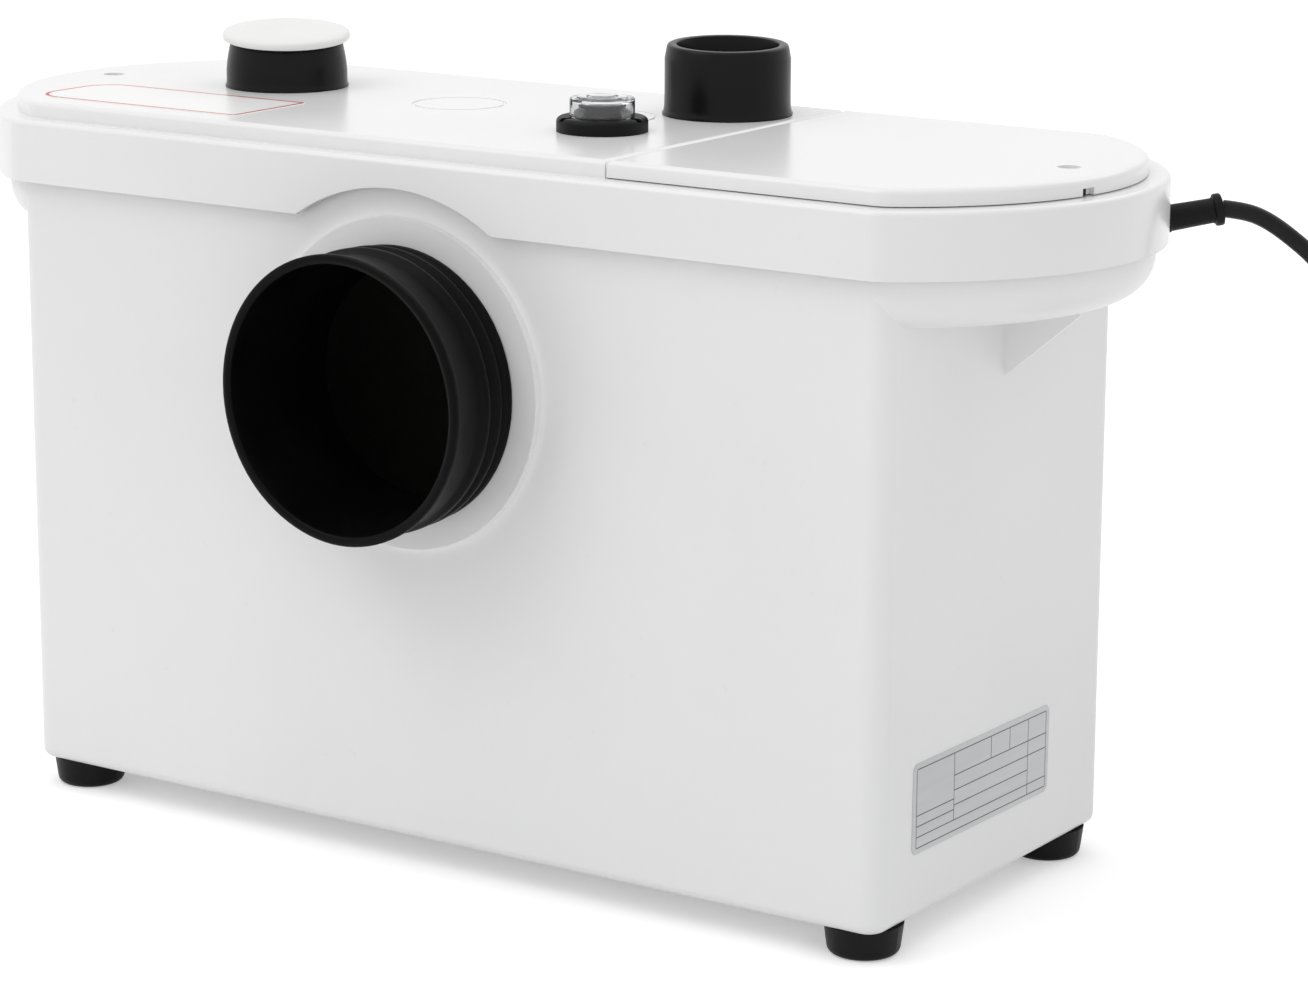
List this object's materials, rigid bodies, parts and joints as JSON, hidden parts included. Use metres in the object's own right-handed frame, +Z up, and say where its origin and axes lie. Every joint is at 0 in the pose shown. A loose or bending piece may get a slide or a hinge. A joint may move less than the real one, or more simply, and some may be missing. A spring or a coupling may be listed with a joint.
{
  "type": "macerator toilet pump",
  "caption": "White macerator pump tank on rubber feet with a long lid, service cover, ribbed pan inlet boot, capped side inlet, discharge sleeve, vent and mains cord.",
  "frame": {"origin": "on the floor under the middle of the pump's own box, cord left out", "axes": "+Z up, -Y toward the pan (inlet side), +X toward the motor end"},
  "size_m": [0.7177, 0.2863, 0.3037],
  "materials": {
    "tank_white": "satin moulded, fine grain",
    "lid_white": "satin moulded",
    "soft_black": "matt",
    "hard_black": "gloss",
    "cord_black": "satin sheath",
    "clear_plastic": "clear moulded",
    "pale_plastic": "satin",
    "grey_plastic": "satin",
    "dark_plastic": "glass filled",
    "steel": "bright",
    "housing_metal": "cast",
    "core_steel": "laminated",
    "copper": "enamelled wire",
    "seal_carbon": "lapped",
    "capacitor_white": "gloss",
    "pin_brass": "plated"
  },
  "bodies": {
    "pump": {"tank": "tank_white", "rubber_feet": "soft_black", "lid_gasket": "soft_black", "lid": "lid_white", "service_cover": "lid_white", "lid_screw": "steel", "cover_screw": "steel", "side_sleeve": "hard_black", "blanking_cap": "lid_white", "discharge_sleeve": "hard_black", "vent_grommet": "soft_black", "vent_cap": "clear_plastic", "inlet_boot": "soft_black", "inlet_clamp_ring": "hard_black", "volute": "grey_plastic", "volute_cover": "pale_plastic", "cutter_basket": "steel", "seal_seat": "seal_carbon", "motor_housing": "housing_metal", "lower_bearing": "steel", "upper_bearing": "steel", "end_shield": "housing_metal", "stator_core": "core_steel", "stator_windings": "copper", "motor_screws": "steel", "discharge_pipe": "grey_plastic", "check_valve_body": "grey_plastic", "pressure_bell": "grey_plastic", "pressure_base": "pale_plastic", "diaphragm": "soft_black", "pressure_cap": "pale_plastic", "microswitch": "hard_black", "switch_bracket": "steel", "run_capacitor": "capacitor_white", "capacitor_clip": "steel", "terminal_block": "hard_black", "cord_gland": "soft_black", "cord": "cord_black", "cord_coil": "cord_black", "plug_lead": "cord_black", "cord_tie": "pale_plastic", "plug_body": "cord_black", "plug_pins": "pin_brass"},
    "rotor": {"rotor_core": "core_steel", "motor_shaft": "steel", "seal_ring": "seal_carbon", "cutter_blades": "steel", "impeller": "dark_plastic"},
    "flap": {"discharge_flap": "pale_plastic"},
    "vent": {"vent_disc": "soft_black"},
    "plunger": {"pressure_plunger": "pale_plastic"},
    "button": {"switch_button": "pale_plastic"}
  },
  "joints": [
    {"name": "motor_spin", "type": "hinge", "parent": "pump", "child": "rotor", "pos_m": [0.14, 0.02235, 0.15], "axis": [0, 0, 1], "continuous": true},
    {"name": "flap_swing", "type": "hinge", "parent": "pump", "child": "flap", "pos_m": [0.0325, 0.06235, 0.2291], "axis": [0, -1, 0], "range_deg": [0, 55]},
    {"name": "vent_lift", "type": "slide", "parent": "pump", "child": "vent", "axis": [0, 0, 1], "range_m": [0, 0.0012]},
    {"name": "plunger_rise", "type": "slide", "parent": "pump", "child": "plunger", "axis": [0, 0, 1], "range_m": [0, 0.0012]},
    {"name": "button_press", "type": "slide", "parent": "pump", "child": "button", "axis": [0, 0, 1], "range_m": [0, 0.0012]}
  ],
  "couplings": [
    {"joint": "button_press", "follows": "plunger_rise", "ratio": 1}
  ]
}
